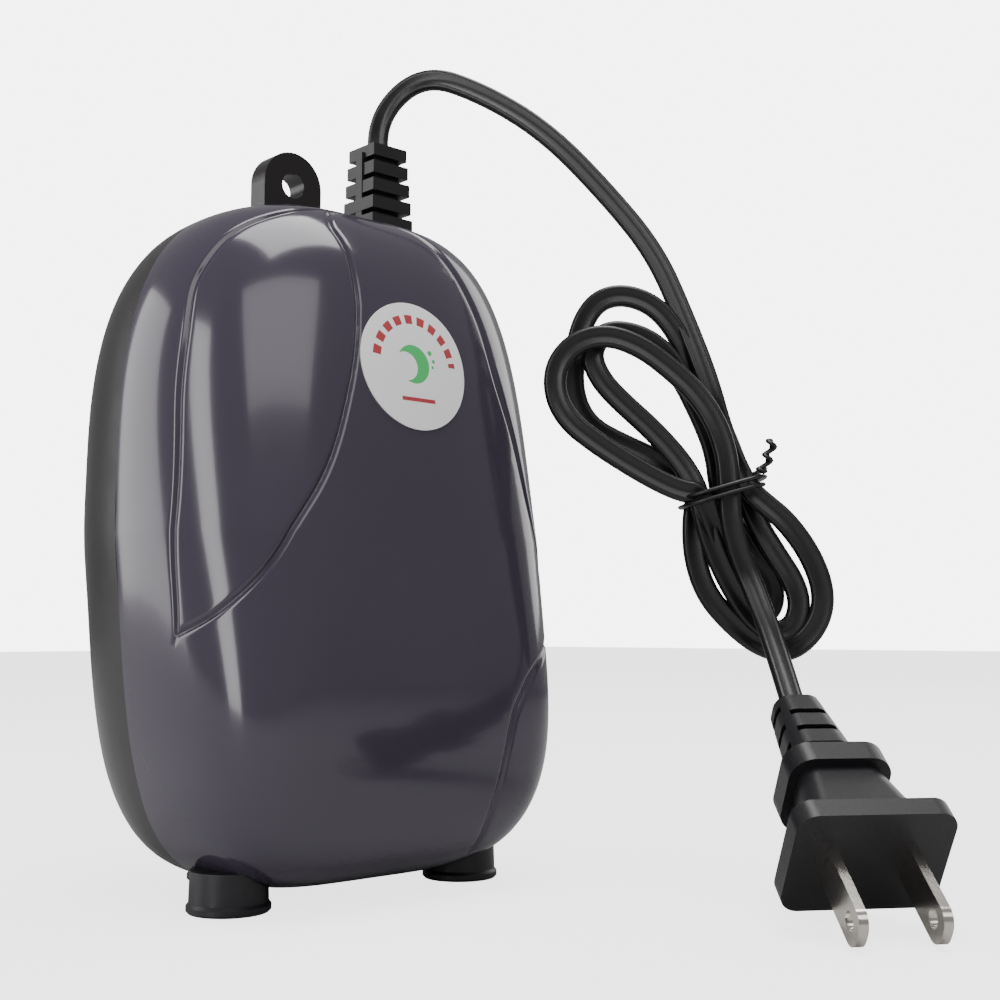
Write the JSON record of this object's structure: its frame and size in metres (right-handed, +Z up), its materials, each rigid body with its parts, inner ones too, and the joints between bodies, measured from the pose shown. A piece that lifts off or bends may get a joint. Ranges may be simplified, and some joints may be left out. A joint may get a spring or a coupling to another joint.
{
  "type": "aquarium air pump",
  "caption": "Upright egg-shaped aquarium air pump with two-tone shell, hanging tab, ribbed strain relief, rubber feet and a tied flat mains cord.",
  "frame": {"origin": "on the floor under the middle of the pump, at the bottom of the feet", "axes": "+Z up, front cover faces -Y, +X to the right seen from the front, hanging tab at the top rear"},
  "size_m": [0.1168, 0.1362, 0.1582],
  "materials": {
    "front_plastic": "glossy dark purple-grey moulded plastic",
    "rear_plastic": "black-brown moulded plastic, satin gloss",
    "label_paper": null,
    "black_rubber": "moulded black rubber",
    "foot_rubber": "matte black rubber",
    "screw_steel": "zinc-plated steel",
    "felt": "white felt",
    "core_steel": "varnished silicon-steel laminations",
    "bobbin_plastic": "cream nylon",
    "copper": "enamelled copper wire",
    "tape": "yellow polyester tape",
    "chamber_plastic": "black ABS",
    "valve_rubber": "soft black rubber",
    "wire_insulation": "insulated wire",
    "crimp_brass": "tinned brass",
    "cord_pvc": "flat twin PVC lead",
    "tie_wire": "plastic-covered wire tie",
    "plug_pvc": "moulded PVC",
    "blade_nickel": "nickel-plated brass",
    "arm_plastic": "white nylon",
    "magnet": "sintered magnet"
  },
  "bodies": {
    "pump": {"rear_shell": "rear_plastic", "front_cover": "front_plastic", "front_label": "label_paper", "strain_relief": "black_rubber", "foot_front_left": "foot_rubber", "foot_front_right": "foot_rubber", "foot_rear_left": "foot_rubber", "foot_rear_right": "foot_rubber", "case_screws": "screw_steel", "inlet_filter": "felt", "filter_retainer": "rear_plastic", "magnet_core": "core_steel", "coil_bobbin": "bobbin_plastic", "coil_winding": "copper", "coil_tape": "tape", "core_screws": "screw_steel", "pivot_bracket": "bobbin_plastic", "pivot_pin": "screw_steel", "frame_screws": "screw_steel", "chamber_body": "chamber_plastic", "valve_plate": "chamber_plastic", "chamber_gasket": "valve_rubber", "chamber_cover": "chamber_plastic", "chamber_screws": "screw_steel", "diaphragm_ring": "chamber_plastic", "diaphragm_bellows": "valve_rubber", "lead_wires": "wire_insulation", "wire_crimps": "crimp_brass", "cord": "cord_pvc", "cord_hank": "cord_pvc", "cord_lead": "cord_pvc", "twist_tie": "tie_wire", "plug_body": "plug_pvc", "plug_neck": "plug_pvc", "plug_blades": "blade_nickel"},
    "armature": {"armature_arm": "arm_plastic", "arm_bush": "valve_rubber", "armature_magnet": "magnet", "diaphragm_washer": "screw_steel", "diaphragm_screw": "screw_steel"},
    "inlet_valve": {"inlet_flap": "valve_rubber"},
    "outlet_valve": {"outlet_flap": "valve_rubber"}
  },
  "joints": [
    {"name": "armature_swing", "type": "hinge", "parent": "pump", "child": "armature", "pos_m": [0, 0.006, 0.029], "axis": [0, 1, 0], "range_deg": [-2.5, 2.5], "stiffness_Nm_per_rad": 0.5, "deforming": ["diaphragm_bellows"]},
    {"name": "inlet_flap_hinge", "type": "hinge", "parent": "pump", "child": "inlet_valve", "pos_m": [0.0194, 0.0005, 0.0541], "axis": [0, 1, 0], "range_deg": [0, 18], "stiffness_Nm_per_rad": 0.0002},
    {"name": "outlet_flap_hinge", "type": "hinge", "parent": "pump", "child": "outlet_valve", "pos_m": [0.0226, 0.0115, 0.0541], "axis": [0, 1, 0], "range_deg": [-18, 0], "stiffness_Nm_per_rad": 0.0002}
  ]
}
